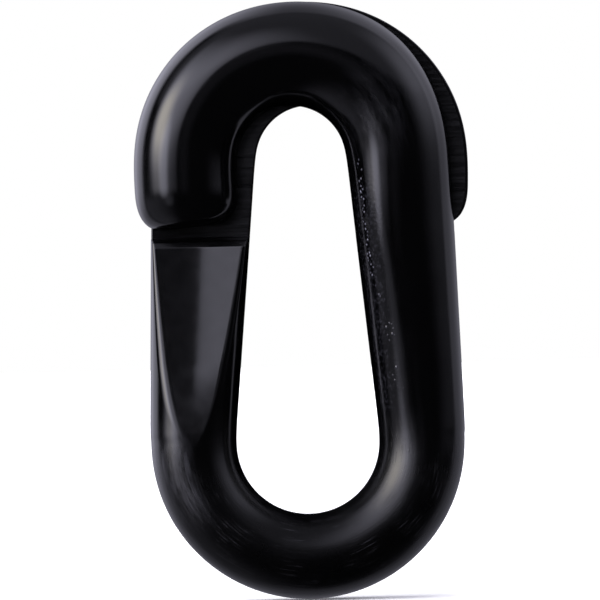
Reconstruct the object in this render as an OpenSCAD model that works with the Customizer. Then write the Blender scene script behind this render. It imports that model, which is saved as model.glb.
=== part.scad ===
// Split connecting link for plastic barrier chain.
// One long eye: a round bar runs round the bow, up both legs and over the crown,
// where it divides at mid-thickness into two lapped half-round hooks.
// +Z runs up the link, X is its width, Y its thickness. The front is -Y.
// The back hook is the front hook turned half a turn about Z.

/* [Bar] */
// Diameter of the round bar at the bow
bow_bar_d = 8; // [7:0.1:9]
// Width of the strand over the crown
crown_bar_d = 9.7; // [8.5:0.1:10.5]

/* [Eye] */
// Radius of the bow, to the middle of the bar
bow_r = 10.65; // [9.5:0.05:12]
// Radius of each hook's arc, to the middle of the strand
crown_r = 9.9; // [8.75:0.05:11]
// Height of the hook arcs' centres above the bow's centre
centre_gap = 26.5; // [24:0.1:34]
// How far each hook's arc stands off to its own side
hook_shift = 0.87; // [0:0.01:1.5]

/* [Lap] */
// Gap between the two mating flats
lap_gap = 0.3; // [0.2:0.05:0.6]
// How far each hook's tip hangs below its arc's centre
tip_drop = 6.17; // [4.5:0.01:7]
// Corner radius of each tip
tip_corner_r = 3; // [0.6:0.1:3.6]
// Gap below each tip, down to the foot of the step
tip_gap = 0.92; // [0.5:0.01:1.5]

/* [Ramp] */
// Height of the sloping step from the ramp down to the mating flat
step_h = 0.9; // [0.4:0.1:1.5]
// How far the ramp's upper edge stands from mid-thickness
ramp_lip = 1.4; // [0.6:0.1:2.2]
// Height of the ramp's foot above the end of the bow
ramp_start = 0.2; // [0.1:0.1:4]

/* [Hidden] */
$fn = 96;

plastic = [0.05, 0.05, 0.055];
far = 60;

bow_bar_r = bow_bar_d / 2;
crown_bar_r = crown_bar_d / 2;
half_gap = lap_gap / 2;

// Heights, with the origin in the middle of the link
link_l = centre_gap + bow_r + bow_bar_r + crown_r + crown_bar_r;
bow_z = bow_r + bow_bar_r - link_l / 2;
crown_z = bow_z + centre_gap;
tip_z = crown_z - tip_drop;
root_z = tip_z - tip_gap;
lip_z = root_z - step_h;

// Each leg is the common tangent of the bow and of its own hook's arc
centres_l = norm([hook_shift, centre_gap]);
lean = acos(-hook_shift / centres_l) - acos((bow_r - crown_r) / centres_l);
leg_l = sqrt(pow(centres_l, 2) - pow(bow_r - crown_r, 2));
ramp_z = bow_z + bow_r * sin(lean) + ramp_start;

// Depth of the ramp's plane from mid-thickness, carried on below its foot
ramp_slope = (bow_bar_r - ramp_lip) / (lip_z - ramp_z);
function ramp_depth(z) = ramp_lip + ramp_slope * (lip_z - z);

// Part of a ring of round bar in the XZ plane, from one angle on through a turn
module bar_arc(ring_r, bar_r, from, turn)
    rotate([90, 0, 0])
        rotate([0, 0, from])
            rotate_extrude(angle = turn)
                translate([ring_r, 0])
                    circle(r = bar_r);

// The front hook's own centre, which its arc turns about
module at_front_arc()
    translate([-hook_shift, 0, crown_z])
        children();

// The right leg's whole tapered bar, hanging from the lower end of the hook's arc
module leg_bar()
    at_front_arc()
        rotate([0, -lean, 0])
            translate([crown_r, 0, -leg_l])
                cylinder(h = leg_l, r1 = bow_bar_r, r2 = crown_bar_r);

// The hook's arc in round bar, from the top of the leaning leg to the upright tip
module crown_arc()
    difference() {
        bar_arc(crown_r, crown_bar_r, 0, 180);
        rotate([0, -lean, 0])
            translate([0, -far / 2, -far])
                cube(far);
    }

// What is cut from the back of the right leg: the ramp, the step and the flat
module lap_cut()
    rotate([90, 0, 90])
        translate([0, 0, -far / 2])
            linear_extrude(far)
                polygon([
                    [ramp_lip, lip_z],
                    [-half_gap, root_z],
                    [-half_gap, far],
                    [far, far],
                    [far, -far],
                    [ramp_depth(-far), -far],
                ]);

// Everything above a height
module above(z)
    translate([-far / 2, -far / 2, z])
        cube(far);

// The front half of what it is given, back to the mating flat
module front_half()
    difference() {
        children();
        translate([-far / 2, -half_gap, -far / 2])
            cube(far);
    }

// Straight round end of a hook, hanging from its arc, with a rounded corner
module tip_bar()
    rotate_extrude() {
        translate([0, tip_corner_r - tip_drop])
            square([crown_bar_r, tip_drop - tip_corner_r]);
        translate([0, -tip_drop])
            square([crown_bar_r - tip_corner_r, tip_drop]);
        intersection() {
            translate([crown_bar_r - tip_corner_r, tip_corner_r - tip_drop])
                circle(r = tip_corner_r);
            translate([0, -tip_drop])
                square([crown_bar_r, tip_drop]);
        }
    }

module half_turn()
    rotate([0, 0, 180])
        children();

// Round bar of the lower end
module bow()
    color(plastic)
        translate([0, 0, bow_z])
            bar_arc(bow_r, bow_bar_r, 180 - lean, 180 + 2 * lean);

// Leg that carries the front hook; its ramp is at the back
module right_leg()
    color(plastic)
        difference() {
            leg_bar();
            above(root_z);
            lap_cut();
        }

// Leg that carries the back hook; its ramp is at the front
module left_leg()
    half_turn()
        right_leg();

// Half-round top of the right leg, where the back hook's tip lies behind it
module front_shoulder()
    color(plastic)
        front_half()
            intersection() {
                leg_bar();
                above(root_z);
            }

// Half-round top of the left leg, where the front hook's tip lies before it
module back_shoulder()
    half_turn()
        front_shoulder();

// Front half of the crown, from the right shoulder over to the tip on the left
module front_hook()
    color(plastic)
        at_front_arc()
            front_half() {
                crown_arc();
                translate([-crown_r, 0, 0])
                    tip_bar();
            }

// Back half of the crown, from the left shoulder over to the tip on the right
module back_hook()
    half_turn()
        front_hook();

bow();
left_leg();
right_leg();
front_shoulder();
back_shoulder();
front_hook();
back_hook();
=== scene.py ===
"""Looks of a split connecting link: two strands of glossy black plastic that lap at the crown.

Each strand is one lofted mesh. It starts at the bottom of the bow, climbs one leg, passes the ramp,
the step and the lap, goes over the crown and ends in a round tip.
"""

import math

import bpy
import numpy as np
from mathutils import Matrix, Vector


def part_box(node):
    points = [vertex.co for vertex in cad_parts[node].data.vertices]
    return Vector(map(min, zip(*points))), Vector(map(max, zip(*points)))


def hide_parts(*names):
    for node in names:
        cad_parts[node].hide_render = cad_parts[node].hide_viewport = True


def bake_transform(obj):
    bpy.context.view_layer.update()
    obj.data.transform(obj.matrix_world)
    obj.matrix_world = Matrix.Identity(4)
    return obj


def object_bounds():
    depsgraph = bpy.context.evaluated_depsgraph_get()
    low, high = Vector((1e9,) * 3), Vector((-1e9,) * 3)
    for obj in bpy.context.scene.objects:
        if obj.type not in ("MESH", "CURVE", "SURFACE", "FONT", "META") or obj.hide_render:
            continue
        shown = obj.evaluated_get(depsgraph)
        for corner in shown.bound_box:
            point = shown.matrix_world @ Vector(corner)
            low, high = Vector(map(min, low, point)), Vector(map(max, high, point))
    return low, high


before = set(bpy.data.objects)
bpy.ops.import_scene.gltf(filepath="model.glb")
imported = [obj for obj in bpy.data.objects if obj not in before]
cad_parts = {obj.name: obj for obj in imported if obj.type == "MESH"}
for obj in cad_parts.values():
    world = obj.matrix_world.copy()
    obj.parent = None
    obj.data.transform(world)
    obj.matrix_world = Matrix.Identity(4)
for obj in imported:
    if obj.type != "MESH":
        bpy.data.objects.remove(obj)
cad_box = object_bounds()

MM = 0.001

# ---------------------------------------------------------------- sizes, read from the frame
bow_low, bow_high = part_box("bow")
hook_low, hook_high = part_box("front_hook")
_, leg_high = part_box("right_leg")

BOW_BAR_R = bow_high.y
BOW_R = bow_high.x - BOW_BAR_R
BOW_Z = bow_low.z + bow_high.x
CROWN_BAR_R = -hook_low.y
HALF_GAP = -hook_high.y
TIP_Z = hook_low.z
ROOT_Z = leg_high.z

# the CAD's own driving dimensions that no box shows
STEP_H = 0.9 * MM
RAMP_LIP = 1.4 * MM
RAMP_START = 0.2 * MM
TIP_CORNER_R = 3.0 * MM
LIP_Z = ROOT_Z - STEP_H

HOOK_ARC_ROUNDS = 12  # rounds in which the hook's arc is found; it settles in about 6


def leg_lean(shift, crown_r, crown_z):
    """Angle from upright of the common tangent of the bow and a hook's arc."""
    between = math.hypot(shift, crown_z - BOW_Z)
    return math.acos(-shift / between) - math.acos((BOW_R - crown_r) / between)


def hook_arc():
    """The arc whose box is the front hook's: how far off centre, radius, height, the leg's lean."""
    flat_r = math.sqrt(CROWN_BAR_R**2 - HALF_GAP**2)
    shift = 0.0
    for _ in range(HOOK_ARC_ROUNDS):
        crown_r = -hook_low.x - shift - flat_r
        crown_z = hook_high.z - crown_r - CROWN_BAR_R
        lean = leg_lean(shift, crown_r, crown_z)
        shift = (shift + (crown_r + flat_r) * math.cos(lean) - hook_high.x) / 2
    return shift, crown_r, crown_z, lean


HOOK_SHIFT, CROWN_R, CROWN_Z, LEAN = hook_arc()
LEG_L = math.sqrt(HOOK_SHIFT**2 + (CROWN_Z - BOW_Z) ** 2 - (BOW_R - CROWN_R) ** 2)
RAMP_Z = BOW_Z + BOW_R * math.sin(LEAN) + RAMP_START

# small departures of the moulding from the pure shape
BEND_BLEND = 7 * MM  # length over which one bend runs into the next
TIP_TURN = math.radians(5)  # how far the tip goes on turning inwards below the arc
SHOULDER = 0.5 * MM  # how much the strand swells outwards at the crown's shoulder
SHOULDER_AT, SHOULDER_SPAN = math.radians(50), math.radians(30)
CREASE, CREASE_AT = 0.6 * MM, 0.35 * MM  # half-width and place of the hollow along the cut faces
RAMP_SINK, RAMP_SINK_FULL = 0.25 * MM, 1.2 * MM  # sink of the ramp; depth of cut where it is whole
RAMP_RISE_OUT, RAMP_RISE_IN = math.tan(math.radians(4)), math.tan(math.radians(10.5))
LAP_RISE = math.tan(math.radians(5))
LAP_EDGE_R = 0.17 * MM  # rounding of the long edges beside the mating flat
RAMP_OUT_EDGE_R = (1.7 * MM, 0.32 * MM)  # the same beside the ramp, at its foot and its lip
RAMP_IN_EDGE_R = (1.0 * MM, 0.3 * MM)
LIP_SOFT, FOOT_SOFT = 0.12 * MM, 0.08 * MM  # half the heights over which lip and foot are rounded
RUN_OUT_SLOPE, RUN_OUT_SOFT = 0.35, 1.8 * MM  # the ramp's gentler end, as a share of its slope
CHAMFER_H, CHAMFER_IN = 0.6 * MM, 0.16 * MM  # gentler part of the step, just above the ramp's lip
TIP_CORNER_L, TIP_CORNER_POWER = 3.9 * MM, 2.7  # the corner's run-out and how squarely it turns
SWELL_IN = 9 * MM  # length from the bottom of the bow over which the swellings set in
# slow swellings of a strand's leg and bow: amount, height, span, angle round the bar, spread
SWELLINGS = [
    (0.44 * MM, 6.5 * MM, 7.5 * MM, math.radians(-121), math.radians(32)),
    (0.28 * MM, -17 * MM, 5 * MM, math.radians(62), math.radians(32)),
    (0.22 * MM, -17.5 * MM, 5 * MM, math.radians(-82), math.radians(30)),
]

# ---------------------------------------------------------------- the line that a strand follows
BEND_LENGTHS = [BOW_R * (LEAN + math.pi / 2), LEG_L, CROWN_R * (math.pi - LEAN), CROWN_Z - TIP_Z]
LEG_FROM, CROWN_FROM, TIP_FROM, TIP_TO = np.cumsum(BEND_LENGTHS)
BOW_RINGS_TO = LEG_FROM - 1.5 * MM  # where the rings square to the bow end
LEVEL_OVER = 3 * MM  # length over which a ring square to the strand turns level
STEP_BELOW, STEP_ABOVE = 0.5 * MM, 0.3 * MM  # how far the step's close rings run past lip and foot
SOFT_SAMPLES = 13  # how many depths a rounded depth is the mean of


def smoothed(values, spacing):
    """Values along the strand, averaged over BEND_BLEND with a soft window."""
    window = np.hanning(int(BEND_BLEND / spacing) | 1)
    half = len(window) // 2
    slope_0, slope_1 = values[1] - values[0], values[-1] - values[-2]
    before = values[0] - slope_0 * np.arange(half, 0, -1)
    after = values[-1] + slope_1 * np.arange(1, half + 1)
    return np.convolve(np.concatenate([before, values, after]), window / window.sum(), "valid")


def strand_line():
    """Tables along the front strand: distance, middle (x, z), angle of outwards, radius.

    Blending the bends moves the crown's top a little, and the leg takes that up.
    """
    spacing = 0.02 * MM
    along = np.arange(0, TIP_TO, spacing)
    turns = [-math.pi / 2, LEAN, LEAN, math.pi, math.pi + TIP_TURN]
    joints = [0, LEG_FROM, CROWN_FROM, TIP_FROM, TIP_TO]
    angle = smoothed(np.interp(along, joints, turns), spacing)
    radii = [BOW_BAR_R, BOW_BAR_R, CROWN_BAR_R, CROWN_BAR_R, CROWN_BAR_R]
    radius = smoothed(np.interp(along, joints, radii), spacing)
    step = np.stack([-np.sin(angle), np.cos(angle)], 1) * spacing
    middle = np.cumsum(step, 0) - step + (0, BOW_Z - BOW_R)
    top = np.argmax(middle[:, 1])
    drift = np.array([-HOOK_SHIFT, CROWN_Z + CROWN_R]) - middle[top]
    share = np.clip((along - LEG_FROM) / LEG_L, 0, 1)
    return along, middle + np.outer(share, drift), angle, radius


ALONG, MIDDLE, ANGLE, RADIUS = strand_line()


def at(along):
    """Middle, outwards and forwards directions, angle and radius at a distance along the strand."""
    middle = np.array([np.interp(along, ALONG, column) for column in MIDDLE.T])
    angle = float(np.interp(along, ALONG, ANGLE))
    out = np.array([math.cos(angle), math.sin(angle)])
    forwards = np.array([-out[1], out[0]])
    return middle, out, forwards, angle, float(np.interp(along, ALONG, RADIUS))


def at_height(z):
    """Distance along the strand at which its leg passes a height."""
    leg = (ALONG > LEG_FROM) & (ALONG < CROWN_FROM)
    return float(np.interp(z, MIDDLE[leg, 1], ALONG[leg]))


# ---------------------------------------------------------------- one strand's surface
ARC_PTS, FLAT_PTS, EDGE_PTS = 88, 36, 6
RING_PTS = ARC_PTS + FLAT_PTS + 2 * EDGE_PTS
BOW_RINGS, RAMP_RINGS, STEP_RINGS, LEG_TOP_RINGS, CROWN_RINGS, TIP_RINGS = 60, 56, 44, 24, 140, 48
END_SHARES = (0.93, 0.8, 0.6, 0.35, 0.12)  # sizes of the rings on the tip's flat end face
LEAST_WINDOW = math.radians(7)  # the least half-angle of a ring that its cut side takes
LEAST_CUT = 0.03 * MM  # how deep the cut is where the ramp's finish starts
WHOLE = (1.0, 0.0, 0.0, LAP_EDGE_R, LAP_EDGE_R)  # a cut that lies outside the bar


def ease(n, k=0.55):
    """n + 1 values from 0 to 1, closer together at both ends the nearer k is to 1."""
    t = np.linspace(0, 1, n + 1)
    return t - k * np.sin(2 * np.pi * t) / (2 * np.pi)


def depth(z):
    """How far the cut side of the right-hand strand stands from mid-thickness at a height."""
    slope = (BOW_BAR_R - RAMP_LIP) / (LIP_Z - RAMP_Z)
    below = 8 * MM  # how far under the ramp's foot the table goes on, outside the bar
    heights = [RAMP_Z - below, RAMP_Z, LIP_Z, LIP_Z + CHAMFER_H, ROOT_Z]
    run_out = BOW_BAR_R + RUN_OUT_SLOPE * slope * below
    depths = [run_out, BOW_BAR_R, RAMP_LIP, RAMP_LIP - CHAMFER_IN, -HALF_GAP]
    run_out_ends = [RAMP_Z + 2 * RUN_OUT_SOFT, RAMP_Z + 4 * RUN_OUT_SOFT]
    places = [*run_out_ends, LIP_Z + LIP_SOFT, ROOT_Z - FOOT_SOFT]
    soft = np.interp(z, places, [RUN_OUT_SOFT, LIP_SOFT, LIP_SOFT, FOOT_SOFT])
    near = z + soft * np.linspace(-1, 1, SOFT_SAMPLES)
    return float(np.mean(np.interp(near, heights, depths)))


def cut_face(z, r, past_root):
    """The cut side at a height: its middle, its rises to the outer and inner edge, their radii.

    past_root says that the height is above the step, on the mating flat.
    """
    if past_root:
        return -HALF_GAP - LAP_RISE * r, LAP_RISE, LAP_RISE, LAP_EDGE_R, LAP_EDGE_R
    lap = float(np.interp(z, [LIP_Z, ROOT_Z], [0, 1]))
    sunk = min(1.0, max(0.0, (r - depth(z)) / RAMP_SINK_FULL))
    out_edge, in_edge = (
        float(np.interp(z, [RAMP_Z, LIP_Z], radii)) for radii in (RAMP_OUT_EDGE_R, RAMP_IN_EDGE_R)
    )
    rises = (RAMP_RISE_OUT * sunk, RAMP_RISE_IN * sunk)
    ramp_side = (depth(z) - RAMP_SINK * sunk, *rises, out_edge, in_edge)
    lap_side = (depth(z) - LAP_RISE * r, LAP_RISE, LAP_RISE, LAP_EDGE_R, LAP_EDGE_R)
    return tuple(a + (b - a) * lap for a, b in zip(ramp_side, lap_side))


def edge_arc(r, base, rise, edge):
    """The arc between round bar and the line v = base + rise * u: centre, radius, two angles."""
    low = base - rise * CREASE - edge * math.hypot(1, rise)
    a = 1 + rise * rise
    root = (rise * low) ** 2 - a * (low * low - (r - edge) ** 2)
    if root > 0:
        u = (math.sqrt(root) - rise * low) / a
        turn = math.atan2(low + rise * u, u)
        if turn < math.pi / 2 - LEAST_WINDOW:
            return u, low + rise * u, edge, turn, math.pi / 2 + math.atan(rise)
    return 0.0, 0.0, r, math.pi / 2 - LEAST_WINDOW, math.pi / 2 - LEAST_WINDOW / 2


def outline(r, face):
    """Ring of round bar with a cut side: points (u, v), u outwards from the eye.

    It runs from one edge of the cut round the front to the other, then back over the cut side.
    """
    base, rise_out, rise_in, edge_out, edge_in = face
    sides = []
    for rise, shift, edge in ((rise_out, -CREASE_AT, edge_out), (rise_in, CREASE_AT, edge_in)):
        u, v, edge, start, stop = edge_arc(r, base + rise * shift, rise, edge)
        turn = start + (stop - start) * np.linspace(0, 1, EDGE_PTS + 1)
        sides.append((start, np.stack([u + edge * np.cos(turn), v + edge * np.sin(turn)], 1)))
    (start_out, outer), (start_in, inner) = sides
    inner = inner * (-1, 1)
    front = start_out - ease(ARC_PTS) * (math.pi + start_out + start_in)
    arc = r * np.stack([np.cos(front), np.sin(front)], 1)
    across = inner[-1, 0] + (outer[-1, 0] - inner[-1, 0]) * ease(FLAT_PTS, 0.6)
    rise = np.where(across > CREASE_AT, rise_out, rise_in)
    flat = np.stack([across, base + rise * (np.hypot(across - CREASE_AT, CREASE) - CREASE)], 1)
    window = np.concatenate([inner[1:], flat[1:-1], outer[:0:-1]])
    inside = np.abs(window[:, 0]) < r
    round_v = np.sqrt(np.maximum(r * r - window[:, 0] ** 2, 0))
    window[:, 1] = np.where(inside & (window[:, 1] > round_v), round_v, window[:, 1])
    return np.concatenate([arc, window])


def ring(along, r, face, level=0.0, swell=0.0):
    """One ring of the strand. At level 1 it is sheared until level; swell widens it outwards.

    The slow swellings are only on the strand's own side of the link.
    """
    middle, out, forwards, angle, _ = at(along)
    points = outline(r, face)
    turn = np.arctan2(points[:, 1], points[:, 0])
    for amount, z, span, side, spread in SWELLINGS if middle[0] > 0 else []:
        away = (turn - side + math.pi) % (2 * math.pi) - math.pi
        more = np.exp(-((away / spread) ** 2) - ((middle[1] - z) / span) ** 2)
        more *= min(1.0, along / SWELL_IN) ** 2
        points = points * (1 + amount * more / r)[:, None]
    u = points[:, 0] * (1 + swell / (2 * r)) + swell / 2
    slip = -level * u * math.tan(angle)
    x = middle[0] + u * out[0] + slip * forwards[0]
    z = middle[1] + u * out[1] + slip * forwards[1]
    return np.stack([x, points[:, 1], z], 1)


def swell_at(along):
    """Extra width at the crown's shoulder, above the bow."""
    angle = at(along)[3]
    return SHOULDER * math.exp(-(((angle - SHOULDER_AT) / SHOULDER_SPAN) ** 2))


def bow_rings():
    for along in np.linspace(0, BOW_RINGS_TO, BOW_RINGS):
        yield ring(along, at(along)[4], WHOLE)


def leg_rings():
    """Rings square to the leg at its ends and level in between, so that lip and step are level."""
    start, end = BOW_RINGS_TO, CROWN_FROM
    lip, root = at_height(LIP_Z - STEP_BELOW), at_height(ROOT_Z + STEP_ABOVE)
    below_lip = np.linspace(start, lip, RAMP_RINGS)[1:]
    step = np.linspace(lip, root, STEP_RINGS)[1:]
    above_root = np.linspace(root, end, LEG_TOP_RINGS)[1:]
    for along in (*below_lip, *step, *above_root):
        middle, _, _, _, r = at(along)
        level = min(1.0, max(0.0, (along - start) / LEVEL_OVER), (end - along) / LEVEL_OVER)
        level = level * level * (3 - 2 * level)
        swell = swell_at(along) if along > LEG_FROM else 0.0
        yield ring(along, r, cut_face(middle[1], r, along > root), level, swell)


def crown_rings():
    for along in np.linspace(CROWN_FROM, TIP_TO - TIP_CORNER_L, CROWN_RINGS)[1:]:
        r = at(along)[4]
        yield ring(along, r, cut_face(0, r, True), 0.0, swell_at(along))


def tip_rings():
    """The end of the strand: a corner that starts gently, then the flat end face."""
    for turn in ease(TIP_RINGS, 0.8)[1:] * math.pi / 2:
        r = CROWN_BAR_R - TIP_CORNER_R * (1 - max(0.0, math.cos(turn)) ** (2 / TIP_CORNER_POWER))
        along = TIP_TO - TIP_CORNER_L * (1 - math.sin(turn) ** (2 / TIP_CORNER_POWER))
        yield ring(along, r, cut_face(0, r, True))
    r = CROWN_BAR_R - TIP_CORNER_R
    last = ring(TIP_TO, r, cut_face(0, r, True))
    middle = last.mean(0)
    for share in END_SHARES:
        yield middle + share * (last - middle)


def strand_rings():
    return np.array([*bow_rings(), *leg_rings(), *crown_rings(), *tip_rings()])


GLOSS, RAMP, LAP = range(3)


def strand_mesh(name, turned):
    """Closed mesh of one strand. turned gives the back one: the same strand half a turn about Z."""
    rings = strand_rings()
    count = len(rings)
    points = np.concatenate([rings.reshape(-1, 3), [rings[0].mean(0)], [rings[-1].mean(0)]])
    start, end = len(points) - 2, len(points) - 1
    a = np.arange(RING_PTS)
    b = (a + 1) % RING_PTS
    faces, finishes = [], []
    cut_side = (a >= ARC_PTS + EDGE_PTS - 1) & (a < ARC_PTS + EDGE_PTS + FLAT_PTS - 1)
    for i in range(count - 1):
        low, high = i * RING_PTS, (i + 1) * RING_PTS
        faces += [(low + p, high + p, high + q, low + q) for p, q in zip(a.tolist(), b.tolist())]
        back = rings[i, ARC_PTS + EDGE_PTS + FLAT_PTS // 2]
        if back[1] > BOW_BAR_R - LEAST_CUT:
            kind = GLOSS
        elif back[1] < -HALF_GAP:
            kind = LAP
        else:
            kind = RAMP
        finishes += np.where(cut_side, kind, GLOSS).tolist()
    last = (count - 1) * RING_PTS
    faces += [(p, q, start) for p, q in zip(a.tolist(), b.tolist())]
    faces += [(last + q, last + p, end) for p, q in zip(a.tolist(), b.tolist())]
    finishes += [GLOSS] * (2 * RING_PTS)
    if turned:
        points = points * (-1, -1, 1)
    mesh = bpy.data.meshes.new(name)
    mesh.from_pydata(points.tolist(), [], faces)
    mesh.polygons.foreach_set("material_index", finishes)
    mesh.polygons.foreach_set("use_smooth", [True] * len(faces))
    mesh.update()
    # the first ring meets the other strand's, so both get the normals of round bar there
    normals = area_normals(points, faces)
    first = points[:RING_PTS] - (0, 0, points[:RING_PTS, 2].mean())
    normals[:RING_PTS] = first / np.linalg.norm(first, axis=1)[:, None]
    mesh.normals_split_custom_set_from_vertices(normals.tolist())
    store(mesh, "rest_mm", points / MM)
    store(mesh, "strand_mm", strand_places(rings) / MM)
    return mesh


def store(mesh, name, vectors):
    """Keep a vector at each vertex, for the materials to read."""
    mesh.attributes.new(name, "FLOAT_VECTOR", "POINT").data.foreach_set("vector", vectors.ravel())


def strand_places(rings):
    """Each vertex as (outwards, through, along) in its own strand, whichever way that runs."""
    edge, other = rings[:, 0], rings[:, ARC_PTS]
    middle = (edge + other) / 2
    out = (edge - other) / np.linalg.norm(edge - other, axis=1)[:, None]
    along = np.concatenate([[0], np.cumsum(np.linalg.norm(np.diff(middle, axis=0), axis=1))])
    outwards = np.einsum("ijk,ik->ij", rings - middle[:, None], out)
    places = np.stack([outwards, rings[:, :, 1], np.repeat(along[:, None], RING_PTS, 1)], 2)
    ends = [(0, 0, 0), (0, 0, along[-1])]
    return np.concatenate([places.reshape(-1, 3), ends])


def area_normals(points, faces):
    """Vertex normals weighted by face area, so that wide faces stay even beside narrow edges."""
    normals = np.zeros_like(points)
    for size in (3, 4):
        group = np.array([f for f in faces if len(f) == size])
        corner = points[group]
        cross = np.cross(corner[:, 2] - corner[:, 0], corner[:, -1] - corner[:, 1])
        for k in range(size):
            np.add.at(normals, group[:, k], cross)
    return normals / np.linalg.norm(normals, axis=1)[:, None]


# ---------------------------------------------------------------- shader nodes, written as sums
def feed(socket, value):
    """Give a node's input a plain value, or what other nodes make."""
    if isinstance(value, Field):
        value.tree.links.new(value.socket, socket)
    else:
        socket.default_value = value


class Field:
    """A number, colour or vector that nodes of one tree make, with the usual arithmetic."""

    def __init__(self, tree, socket):
        self.tree, self.socket = tree, socket

    def node(self, kind, inputs, output=0, **settings):
        made = self.tree.nodes.new(kind)
        for key, value in settings.items():
            setattr(made, key, value)
        for key, value in inputs.items():
            feed(made.inputs[key], value)
        return Field(self.tree, made.outputs[output])

    def math(self, operation, other=0.0):
        return self.node("ShaderNodeMath", {0: self, 1: other}, operation=operation)

    def __add__(self, other):
        return self.math("ADD", other)

    def __mul__(self, other):
        return self.math("MULTIPLY", other)

    def less_from(self, whole):
        """What is left of whole when this is taken away."""
        return (self * -1.0) + whole

    def rise(self, start, end, low=0.0, high=1.0):
        """Smooth step from low at start to high at end; start may be the larger."""
        ends = {"Value": self, "From Min": start, "From Max": end, "To Min": low, "To Max": high}
        return self.node("ShaderNodeMapRange", ends, interpolation_type="SMOOTHSTEP")

    def band(self, start, end, soft):
        """1 between start and end, fading to 0 over soft on either side."""
        return self.rise(start - soft, start + soft) * self.rise(end + soft, end - soft)

    def scaled(self, x, y, z):
        return self.node("ShaderNodeVectorMath", {0: self, 1: (x, y, z)}, operation="MULTIPLY")

    def noise(self, scale, detail=2.0, rough=0.5):
        sizes = {"Vector": self, "Scale": scale, "Detail": detail, "Roughness": rough}
        return self.node("ShaderNodeTexNoise", sizes)

    def spots(self, scale, radius):
        """1 at the middle of scattered spots, 0 outside their radius (in cells)."""
        far = self.node("ShaderNodeTexVoronoi", {"Vector": self, "Scale": scale})
        return far.rise(radius, 0.0)

    def parts(self):
        made = self.tree.nodes.new("ShaderNodeSeparateXYZ")
        self.tree.links.new(self.socket, made.inputs[0])
        return [Field(self.tree, out) for out in made.outputs]


def attribute(tree, name):
    made = tree.nodes.new("ShaderNodeAttribute")
    made.attribute_name = name
    return Field(tree, made.outputs["Vector"])


# ---------------------------------------------------------------- materials
def plastic(name, colour, make):
    """Black plastic.

    make gives shade, shine, roughness and height in mm, from a place in the link and the same
    place in its strand.
    """
    made = bpy.data.materials.new(name)
    made.use_nodes = True
    tree = made.node_tree
    shader = tree.nodes["Principled BSDF"]
    shader.inputs["IOR"].default_value = 1.5
    shade, shine, rough, height = make(attribute(tree, "rest_mm"), attribute(tree, "strand_mm"))
    tint = shade.node("ShaderNodeVectorMath", {0: colour, "Scale": shade}, operation="SCALE")
    feed(shader.inputs["Base Color"], tint)
    feed(shader.inputs["Specular IOR Level"], shine)
    feed(shader.inputs["Roughness"], rough)
    bump = height.node("ShaderNodeBump", {"Height": height, "Distance": MM, "Strength": 1.0})
    feed(shader.inputs["Normal"], bump)
    return made


def gloss(place, strand_place):
    """Moulded gloss with slow waves.

    The legs' inner sides are grained and pitted, with painted light on the upper pits, the bow is
    scuffed, and the right shoulder and the left of the bow are wiped dull in front.
    """
    x, y, z = place.parts()
    outwards, through, along = strand_place.parts()

    # scuffs and scratches, most of them on the bow, and a few crumbs all over
    worn = z.rise(-8.0, -19.0)
    streaks = strand_place.scaled(6.0, 6.0, 0.3).noise(1.0, 3.0, 0.65).rise(0.50, 0.72)
    patches = place.noise(0.3, 2.0).rise(0.40, 0.62)
    scuff = streaks * patches * worn.rise(0.0, 1.0, 0.25, 1.0)
    scratch = strand_place.scaled(7.0, 7.0, 0.25).noise(1.0, 2.0).rise(0.62, 0.74) * patches * worn
    crumbs = place.spots(0.8, 0.09) * place.noise(0.4).rise(0.5, 0.62)

    # a row of pits, and fine grain, on the legs' inner sides; the upper pits get painted light
    upper = along.rise(28.0, 34.0)
    row = (through + upper * -0.45).band(-3.95, -3.5, 0.15) * outwards.rise(-0.8, -1.8)
    row = row * along.band(20.0, 44.5, 1.5) * (place.noise(0.9) + upper * 0.3).rise(0.52, 0.58)
    pits = place.spots(2.4, 0.36) * row
    inner = outwards.rise(-0.9, -2.6) * through.rise(-1.0, -2.0) * along.band(18.0, 44.0, 3.0)
    grain = place.noise(3.5, 3.0, 0.6) * inner

    # places wiped dull
    wiped = strand_place.scaled(1.6, 1.6, 0.35).noise(1.0, 3.0, 0.6).rise(0.30, 0.75)
    wiped = wiped * y.rise(-1.5, -3.0)
    shoulder = x.band(4.5, 10.0, 2.2) * z.band(14.5, 21.0, 2.5) * wiped
    cheek = outwards.band(0.6, 2.8, 0.7) * z.band(-19.5, -13.0, 2.5) * x.rise(-5.0, -8.0) * wiped

    rough = scuff * 0.2 + shoulder * 0.2 + cheek * 0.2 + worn * 0.16
    rough = rough + place.noise(0.3).rise(0.3, 0.7, 0.11, 0.15)
    ripples = place.noise(0.7, 2.0) * 0.004 * worn.rise(0.0, 1.0, 0.4, 1.0)
    waves = place.noise(0.16, 1.0) * 0.04 + ripples
    brushed = strand_place.scaled(5.0, 5.0, 0.2).noise(1.0, 2.0) * worn * 0.006
    height = waves + brushed + grain * 0.008 + scuff * -0.002 + scratch * -0.004 + crumbs * 0.012
    height = height + pits * 0.035
    shade = scuff.rise(0.0, 1.0, 1.0, 9.0) + scratch * 30.0 + shoulder * 12.0 + cheek * 60.0
    # painted light: the upper pits' shade is about three times the lower's, as less light reaches
    # them
    shade = shade + grain.rise(0.45, 0.7) * 30.0 + pits * upper.rise(0.0, 1.0, 150.0, 500.0)
    shine = worn.rise(0.0, 1.0, 0.49, 0.41) + z.rise(-17.5, -24.0) * -0.15
    return shade, shine, rough, height


def ramp(place, _):
    """Satin face of the ramp, with fine grain and a few marks."""
    grain = place.noise(9.0, 2.0, 0.5)
    marks = place.spots(0.45, 0.07)
    rough = place.noise(0.8, 2.0).rise(0.3, 0.7, 0.17, 0.23)
    height = grain * 0.0003 + marks * -0.01 + place.noise(0.3, 1.0) * 0.02
    return place.noise(1.2).rise(0.3, 0.7, 0.7, 1.3), 0.6, rough, height


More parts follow.
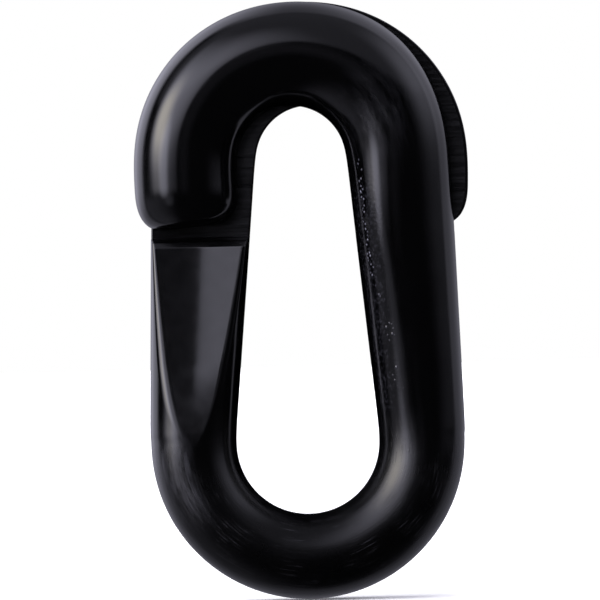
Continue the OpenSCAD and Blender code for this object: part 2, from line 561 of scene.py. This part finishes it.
def lap(place, _):
    """Satin mating flat with fine cutter lines across it, level, about 0.3 mm apart."""
    lines = place.scaled(0.05, 0.0, 1.0).noise(3.0, 3.0, 0.7)
    rough = lines.rise(0.3, 0.7, 0.26, 0.42)
    height = lines * 0.03 + place.noise(3.0) * 0.002
    return lines.rise(0.40, 0.64, 0.5, 5.0), 0.36, rough, height


FINISHES = [
    plastic("black_gloss", (0.0004, 0.0004, 0.0005), gloss),
    plastic("ramp_face", (0.0012, 0.0012, 0.0014), ramp),
    plastic("lap_face", (0.0010, 0.0010, 0.0012), lap),
]


# where a leg's bend starts and ends, outwards and up
BEND_START = (10.5 * MM, -6 * MM)
BEND_END = (6 * MM, 10 * MM)


def strand(name, turned, nodes):
    """One strand as a piece, from the bow to its own hook."""
    mesh = strand_mesh(name, turned)
    piece = bpy.data.objects.new(name, mesh)
    bpy.context.scene.collection.objects.link(piece)
    for material in FINISHES:
        mesh.materials.append(material)
    side = -1 if turned else 1
    start, end = ((side * out, 0, up) for out, up in (BEND_START, BEND_END))
    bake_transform(piece)
    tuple(start)
    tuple(end)
    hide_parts(*nodes)


strand("front_strand", False, ["bow", "right_leg", "front_shoulder", "front_hook"])
strand("back_strand", True, ["bow", "left_leg", "back_shoulder", "back_hook"])


# ---------------------------------------------------------------- studio
KEY_RIGHT, KEY_UP = -67, 18  # the key light's direction
FLOOR_GLOW_NEAR, FLOOR_GLOW_FAR = 0.1, 0.9
FLOOR_R, DOME_R = 2.1, 2.2
FLOOR_BELOW = 0.05 * MM  # how far the floor lies under the link


def studio_light():
    """Light that the plastic mirrors: a soft key at the upper left, a weaker side light, a white
    back and hardly anything in front and below.

    Directions are degrees to the right of and above straight in front.
    """
    world = bpy.data.worlds.new("studio")
    world.use_nodes = True
    tree = world.node_tree
    towards = tree.nodes.new("ShaderNodeTexCoord")
    x, y, z = Field(tree, towards.outputs["Generated"]).parts()
    degrees = math.degrees(1)
    right = x.math("ARCTAN2", y * -1.0) * degrees
    up = z.math("ARCSINE") * degrees
    off = (y * -1.0).math("ARCCOSINE") * degrees

    def around(at_right, at_up, inner, outer):
        """1 within inner degrees of a direction, fading to 0 at outer degrees."""
        a, b = math.radians(at_right), math.radians(at_up)
        to = (math.sin(a) * math.cos(b), -math.cos(a) * math.cos(b), math.sin(b))
        near = x * to[0] + y * to[1] + z * to[2]
        return (near.math("ARCCOSINE") * degrees).rise(outer, inner)

    dark_ring = around(5, 2, 22, 27)
    span = right.rise(12, -28) * 1.8 + right.rise(-10, -70) * 1.6
    slant = (up.rise(24, 0) * right.rise(-50, 0)).less_from(1.0) * dark_ring.less_from(1.0)
    wide = span * slant * right.rise(-94, -70) * up.rise(-6, 12) * up.rise(66, 24)
    key = around(KEY_RIGHT, KEY_UP, 3, 24) * 4.2
    low_key = around(-51, 5, 5, 16) * 2.4 + around(-40, -12, 3, 15) * 0.3
    top = up.rise(23, 27) * off.rise(108, 92) * 0.27
    side = right.rise(40, 80) * right.rise(122, 88) * up.rise(-8, 28) * up.rise(70, 32) * 0.95
    left = (x * -1.0).rise(0.0, 0.6)
    edge = off.rise(96, 106) * left.rise(1.0, 0.0) + off.rise(105, 118) * left
    back = left * z.rise(-0.5, 0.35) * 1.3 + x.rise(0, 0.6) * z.rise(0, 0.5) * 0.5 + 0.4
    back = edge * off.rise(178, 140, 0.4, 1.0) * back
    front = around(-4, 10, 4, 18) * 0.09
    low_left = right.rise(-15, -80) * up.rise(-90, -55) * up.rise(2, -12)
    low_left = low_left * off.rise(112, 100) * 0.24
    total = key + wide + low_key + top + side + back + front + low_left + 0.015

    ground = tree.nodes["Background"]
    warmth = around(KEY_RIGHT, KEY_UP, 6, 24)
    cool, warm = (1.0, 0.99, 1.19, 1), (1.06, 1.0, 0.94, 1)
    hue = warmth.node("ShaderNodeMix", {0: warmth, 6: cool, 7: warm}, 2, data_type="RGBA")
    tree.links.new(hue.socket, ground.inputs["Color"])
    tree.links.new(total.socket, ground.inputs["Strength"])
    bpy.context.scene.world = world


def matt(name, colour, glow):
    """Plain matt material of the stage, which may glow white."""
    made = bpy.data.materials.new(name)
    made.use_nodes = True
    shader = made.node_tree.nodes["Principled BSDF"]
    shader.inputs["Base Color"].default_value = (*colour, 1)
    shader.inputs["Roughness"].default_value = 0.9
    shader.inputs["Specular IOR Level"].default_value = 0.0
    shader.inputs["Emission Color"].default_value = (1, 1, 1, 1)
    shader.inputs["Emission Strength"].default_value = glow
    return made


def floor_finish():
    """Pale floor that glows more and more away from the object, so that its edge doesn't show."""
    made = matt("pale_floor", (0.86, 0.86, 0.86), FLOOR_GLOW_NEAR)
    tree = made.node_tree
    place = Field(tree, tree.nodes.new("ShaderNodeTexCoord").outputs["Object"])
    away = place.node("ShaderNodeVectorMath", {0: place}, 1, operation="LENGTH")
    glow = away.rise(0.3, 1.3, FLOOR_GLOW_NEAR, FLOOR_GLOW_FAR)
    feed(tree.nodes["Principled BSDF"].inputs["Emission Strength"], glow)
    return made


def staged(obj, material, mirrored=False):
    """Put an object on the stage. The plastic mirrors it only if mirrored is set."""
    obj.data.materials.append(material)
    obj.visible_glossy = mirrored


def eye_card():
    """Black card just behind the eye, which only the plastic mirrors: the eye's rims stay dark."""
    behind, reach = 5.6 * MM, 2.6 * MM
    crown_eye_r, bow_eye_r = CROWN_R - CROWN_BAR_R, BOW_R - BOW_BAR_R
    corners = []
    for r, z, start in ((crown_eye_r + reach, CROWN_Z, 0), (bow_eye_r + reach, BOW_Z, math.pi)):
        for angle in np.linspace(start, start + math.pi, 33):
            corners.append((r * math.cos(angle), behind, z + r * math.sin(angle)))
    mesh = bpy.data.meshes.new("eye_card")
    mesh.from_pydata(corners, [], [list(range(len(corners)))])
    card = bpy.data.objects.new("eye_card", mesh)
    bpy.context.scene.collection.objects.link(card)
    card.visible_camera = card.visible_diffuse = card.visible_shadow = False
    return card


def stage():
    """Floor, backdrop and eye card, and an overhead lamp that the plastic doesn't mirror."""
    under = (0, 0, cad_box[0][2] - FLOOR_BELOW)
    bpy.ops.mesh.primitive_circle_add(
        vertices=96, radius=FLOOR_R, fill_type="NGON", location=under
    )
    floor = bpy.context.object
    floor.name = "floor"
    staged(floor, floor_finish())
    bpy.ops.mesh.primitive_uv_sphere_add(segments=64, ring_count=32, radius=DOME_R)
    dome = bpy.context.object
    dome.name = "backdrop"
    staged(dome, matt("backdrop_white", (0, 0, 0), 1.0))
    dome.visible_diffuse = False
    dome.visible_shadow = False
    staged(eye_card(), matt("card_black", (0, 0, 0), 0.0), mirrored=True)
    lamp = bpy.data.lights.new("overhead", "AREA")
    lamp.shape = "DISK"
    lamp.size = 1.6
    lamp.energy = 22
    overhead = bpy.data.objects.new("overhead", lamp)
    bpy.context.scene.collection.objects.link(overhead)
    overhead.location = (-0.25, 0.1, 1.3)
    overhead.rotation_euler = (0, math.radians(-10), 0)
    overhead.visible_camera = False
    overhead.visible_glossy = False


studio_light()
stage()
bpy.context.scene.view_settings.view_transform = "Standard"


# ---------------------------------------------------------------- camera
def camera():
    """Level camera straight in front. Its roll is the lean of the photographed link."""
    data = bpy.data.cameras.new("camera")
    cam = bpy.data.objects.new("camera", data)
    bpy.context.scene.collection.objects.link(cam)
    distance = 0.6
    seen = 56.2 * MM  # height of the view at the link
    aside, up, roll = -0.41 * MM, 0.07 * MM, math.radians(1.47)
    data.lens = data.sensor_width * distance / seen
    cam.location = (aside, -distance, up)
    cam.rotation_euler = (math.radians(90), roll, 0)
    bpy.context.scene.camera = cam


camera()
